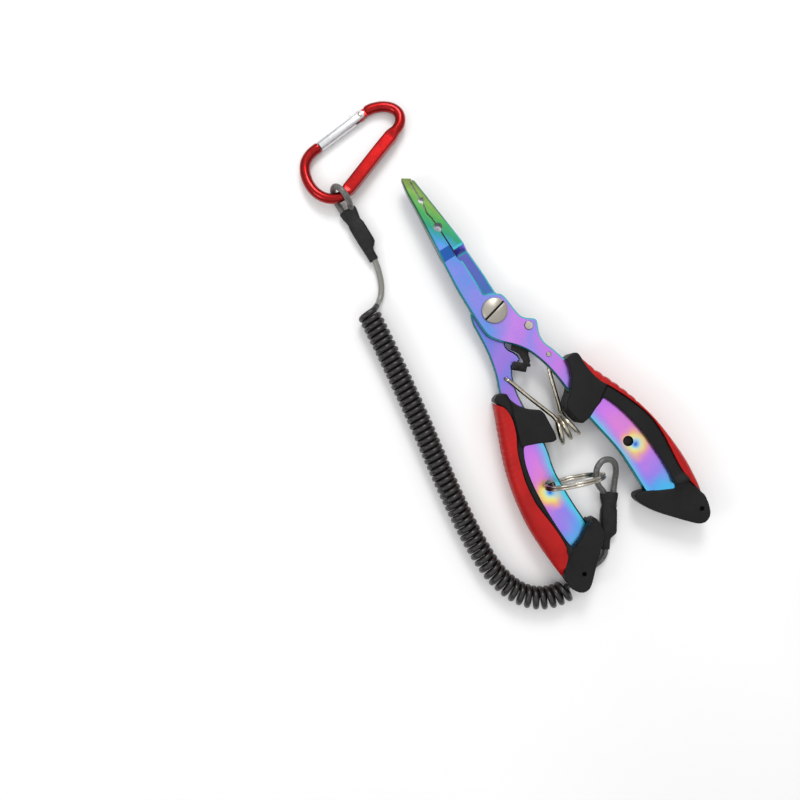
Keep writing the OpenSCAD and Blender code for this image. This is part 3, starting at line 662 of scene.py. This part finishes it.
# the slot's faces get a dark finish: painted shade down in the slot
SLOT_TURN = math.radians(13.5)
SLOT_HALF = 0.42
SLOT_LOW, SLOT_HIGH = 11.75, 12.6
for f in screw.data.polygons:
    x, y, z = (f.center - PIVOT * 0.001) * 1000
    off_slot = abs(y * math.cos(SLOT_TURN) - x * math.sin(SLOT_TURN))
    f.material_index = 1 if off_slot < SLOT_HALF and SLOT_LOW < z < SLOT_HIGH else 0

# ---- latch ----
# A small steel lever, blackened, turns on a rivet under the front arm and hooks the back arm's notch.
# Its bent tab is the thumb catch.
black_oxide = Finish("black_oxide", metallic=0.6, roughness=0.4)
wear = black_oxide.noise(500, 4)
black_oxide.put("Base Color", black_oxide.ramp(wear, [(0.35, srgb(24, 23, 24)), (0.7, srgb(46, 44, 43))]))
black_oxide.put("Roughness", black_oxide.spread(wear, 0.3, 0.7, 0.3, 0.5))
black_oxide.bump(black_oxide.noise(1600, 3), 0.15)
latch = worked("latch_lever_black", "latch_lever", 0.2, [black_oxide])

# ---- return spring ----
# A torsion spring of 1.7 mm bright wire: one leg is bent into each arm, and three open turns lie between the
# handles, fanned out because the legs end at different heights.
SPRING_WIRE = 1.7
TURN_R = 5.1
TURN_MID = (-54.7, 7.3)
OVER_Z, UNDER_Z = 8.45, 6.55


def turn_x(u):
    """Where the spring has got to sideways after u turns. Its far side fans out more than its near side."""
    far = (1 - math.cos(2 * math.pi * u)) / 2
    return (1 - far) * (-2.2 + 1.2 * u) + far * (-6.8 + 3.8 * u)


turns = []
for i in range(89):
    u = 0.1 + 2.8 * i / 88
    angle = 2 * math.pi * u
    y = TURN_MID[0] + TURN_R * math.cos(angle)
    z = TURN_MID[1] + TURN_R * math.sin(angle)
    turns.append(Vector((turn_x(u), y, z)))
x, y = BACK_SPRING_HOLE
left_leg = through([(x, y, 4.6), (x, y, OVER_Z - 1), (x + 0.3, y - 0.7, OVER_Z - 0.1),
                    (x + 0.9, y - 2.4, OVER_Z), (-6.4, -37.5, OVER_Z + 0.4), (-3.6, -45.6, OVER_Z + 0.8),
                    (-2.7, -48.4, OVER_Z + 1.3), turns[0]], 6)
x, y = FRONT_SPRING_HOLE
right_leg = through([turns[-1], (1.6, -48.4, UNDER_Z - 1.6), (2.5, -45.6, UNDER_Z - 1), (5.6, -34.5, UNDER_Z),
                     (8, -28.6, UNDER_Z), (8.7, -27.1, UNDER_Z), (x, y, 7.4), (x, y, 11.05)], 6)
spring_steel = Finish("spring_wire", metallic=1.0, roughness=0.16)
tone = spring_steel.noise(600, 3)
wire_tone = [(0.3, srgb(164, 156, 140)), (0.7, srgb(200, 192, 176))]
spring_steel.put("Base Color", spring_steel.ramp(tone, wire_tone))
spring_steel.put("Roughness", spring_steel.spread(spring_steel.noise(1500, 3), 0.3, 0.7, 0.12, 0.24))
spring_steel.bump(spring_steel.noise(2400, 2), 0.06)

# the spring is swept in three pieces: the left leg, the turns and the right leg
hub, far_off = turns[len(turns) // 2], Vector((600, 0, 0))
wire = round_section(SPRING_WIRE / 2, 14)
for name, line, start, end in (
        ("return_spring_left_leg", left_leg + [turns[1]], left_leg[0], turns[0] * 2 - left_leg[0]),
        ("return_spring_turns", turns, hub - far_off, hub + far_off),
        ("return_spring_right_leg", [turns[-2]] + right_leg, turns[-1] * 2 - right_leg[-1], right_leg[-1])):
    points, faces = sweep(line, lambda i: wire)
    spring = piece(name, [at(*p) for p in points], faces, spring_steel, 60)
    if name == "return_spring_turns":
        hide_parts("return_spring")
    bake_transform(spring)

# ---- grips ----
# Hard black nylon is moulded over each handle, leaving a window on the steel, and ends in a thinner cap.
# Softer red rubber is moulded along its outer side.
grip_nylon = Finish("black_nylon", roughness=0.46, specular_ior_level=0.2)
tone = grip_nylon.noise(120, 3)
grip_nylon.put("Base Color", grip_nylon.ramp(tone, [(0.3, srgb(16, 16, 17)), (0.7, srgb(24, 24, 25))]))
grip_nylon.put("Roughness", grip_nylon.spread(grip_nylon.noise(900, 3), 0.3, 0.7, 0.46, 0.62))
grip_nylon.bump(grip_nylon.add("TexVoronoi", Vector=grip_nylon.place, Scale=2600.0).outputs[0], 0.25, 0.00006)

# the lines where black nylon meets red rubber
right_inner = [(19, -33.5), (18.4, -37), (18.7, -41), (20, -46), (22.6, -50.5), (25.6, -57), (28.2, -64),
               (29.6, -70), (29.8, -77), (29.2, -84), (28.6, -90), (28.6, -95), (29.8, -101), (31.6, -106)]
left_inner = [(-20.4, -31), (-17.8, -35), (-17.7, -40), (-19.6, -46), (-22.8, -52), (-25.6, -60), (-27, -66),
              (-27.7, -73), (-27.4, -78), (-26.8, -84), (-26.6, -90), (-27, -95), (-28.5, -99), (-32, -102.5),
              (-34.2, -105)]


GRIP_MID = 7.5
BAND_DROP = 1.3


def moulded(name, node, side, step):
    """A moulded copy of a plain block: a closed skin with every edge and corner eased round.

    The band beside the window is lower than the saddle above it. step is the line between them as (y, x)
    points, and side says on which side of it the band lies.
    """
    block = bpy.data.objects.new(name + "_block", frame["nodes"][node].data.copy())
    bpy.context.scene.collection.objects.link(block)
    cover = block.modifiers.new("skin", "REMESH")
    cover.mode = "VOXEL"
    cover.voxel_size = 0.00045
    rub = block.modifiers.new("rub", "SMOOTH")
    rub.factor = 0.5
    rub.iterations = 9
    mesh = bpy.data.meshes.new_from_object(block.evaluated_get(bpy.context.evaluated_depsgraph_get()))
    bpy.data.objects.remove(block)
    mesh.name = name
    for v in mesh.vertices:
        x, y, z = v.co.x * 1000 - PIVOT.x, v.co.y * 1000 - PIVOT.y, v.co.z * 1000
        edge = step[0][1]
        for (y0, x0), (y1, x1) in zip(step, step[1:]):
            if y <= y0:
                edge = x0 + (x1 - x0) * min((y0 - y) / (y0 - y1), 1)
        drop = BAND_DROP * ease(side * (x - edge) / 1.6) * ease((y + 98) / 5)
        v.co.z = (GRIP_MID + (z - GRIP_MID) * (1 - drop / GRIP_MID)) * 0.001
    mesh.polygons.foreach_set("use_smooth", [True] * len(mesh.polygons))
    mesh.materials.clear()
    mesh.materials.append(grip_nylon.material)
    made = bpy.data.objects.new(name, mesh)
    bpy.context.scene.collection.objects.link(made)
    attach(made, frame["nodes"][node]["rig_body"])
    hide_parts(node)


moulded("right_grip_moulding", "right_grip", 1, [(-44, 28), (-52.2, 15.3), (-54, 15.3)])
moulded("left_grip_moulding", "left_grip", -1, [(-34, -13.8), (-50.2, -19.4), (-52, -19.4)])

# a black nylon plug fills the right handle's spare hole from behind: painted shade, so the hole looks dark
x, y = SPARE_HOLE
shade_plug_line = [(x + dx, y + dy) for dx, dy in round_section(2.05, 36)]
key = prism("right_hole_shade_plug", shade_plug_line, 7.4, 9.7, grip_nylon, at, 0.3)
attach(key, "front")

# ---- red pads ----
# Each pad is a crowned strip of soft red rubber, set into the grip's outer side and pointed at both ends.
# Low ridges near the top give the fingers hold.
pad_rubber = Finish("red_rubber", roughness=0.4, specular_ior_level=0.22)
tone = pad_rubber.noise(90, 3)
pad_rubber.put("Base Color", pad_rubber.ramp(tone, [(0.3, srgb(160, 12, 12)), (0.7, srgb(182, 19, 17))]))
pad_rubber.put("Roughness", pad_rubber.spread(pad_rubber.noise(1100, 3), 0.3, 0.7, 0.36, 0.52))
pad_rubber.bump(pad_rubber.add("TexVoronoi", Vector=pad_rubber.place, Scale=1500.0).outputs[0], 0.3, 0.0001)

right_outer = [(19, -33.5), (20.5, -39.5), (22.7, -44.5), (25, -50), (27.5, -57), (29.6, -65), (31.2, -73),
               (32.3, -82), (32.7, -90), (32.3, -98), (31.6, -106)]
left_outer = [(-20.4, -31), (-23, -37.6), (-26, -44.8), (-29.2, -53), (-32, -62), (-34, -71.5), (-35.1, -81),
              (-35.2, -90), (-34.8, -98), (-34.2, -105)]


PAD_HALF, LOWER_HALF = 7.0, 3.6
PAD_POWER = 2.7


def pad(name, node, outer, inner, ridge_pitch, ridge_h, ridge_from, ridge_to):
    """A crowned strip between the two lines, with low ridges across it between two distances from its top."""
    stations, around = 260, 28
    far = evenly(through([(x, y, 0) for x, y in outer], 10), stations)
    near = evenly(through([(x, y, 0) for x, y in inner], 10), stations)
    points, faces, run = [], [], 0.0
    for i in range(stations):
        if i:
            run += (far[i] - far[i - 1]).length
        width = far[i] - near[i]
        out = width.normalized() if width.length > 0.3 else Vector((0, 0, 0))
        fade = ease((run - ridge_from) / 3) * ease((ridge_to - run) / 4)
        bump = ridge_h * fade * (abs(math.sin(math.pi * run / ridge_pitch)) ** 0.7 - 0.5)
        tall = PAD_HALF * ease(i / 14) ** 0.5 * ease((stations - 1 - i) / 40) ** 0.5
        tall = max(min(tall, PAD_HALF - (PAD_HALF - LOWER_HALF) * ease((run - 60) / 14)), 0.05)
        for k in range(around + 1):
            a = math.pi * (0.5 - k / around)
            c = max(math.cos(a), 0) ** (2 / PAD_POWER)
            s = math.copysign(abs(math.sin(a)) ** (2 / PAD_POWER), math.sin(a))
            rise = Vector((0, 0, GRIP_MID + s * (tall + 0.4 * bump)))
            points.append(near[i] + width * c + out * bump * c + rise)
    row = around + 1
    for i in range(stations - 1):
        for k in range(around):
            a = i * row + k
            faces.append((a, a + 1, a + 1 + row, a + row))
        faces.append((i * row + around, i * row, (i + 1) * row, (i + 1) * row + around))
    made = piece(name, [at(*p) for p in points], faces, pad_rubber, 60)
    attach(made, frame["nodes"][node]["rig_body"])
    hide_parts(node)


pad("right_pad_red", "right_pad", right_outer, right_inner, 4.1, 0.5, 3, 32)
pad("left_pad_red", "left_pad", left_outer, left_inner, 2.4, 0.24, 6, 34)

# ---- split ring ----
# Two turns of 1.1 mm bright wire, side by side, run through the left handle's hole and the cord's loop. A short
# jog carries the wire from one turn over to the other.
ring_mid = Vector((-9.7, -74.5, 12.4))
ring_angle = math.radians(-19.5)
ring_r, ring_wire = 11.7, 1.1
lengthways = Vector((math.cos(ring_angle), math.sin(ring_angle), 0))
through_way = Vector((-math.sin(ring_angle), math.cos(ring_angle), 0))
ring_line = []
for i in range(281):
    a = 2 * math.pi * (2 * i / 280 - 0.42)
    shift = ring_wire * 0.98 * (ease((i - 118) / 44) - 0.5)
    ring_line.append(ring_mid + lengthways * (ring_r * math.cos(a)) + Vector((0, 0, ring_r * math.sin(a)))
                     + through_way * shift)
ring_section = squarish(ring_wire / 2, ring_wire / 2, 2.6, 14)
points, faces = sweep(ring_line, lambda i: ring_section, tuple(through_way))
ring = piece("split_ring_wire", [at(*p) for p in points], faces, bright_steel, 60)
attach(ring, "ring")
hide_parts("split_ring")
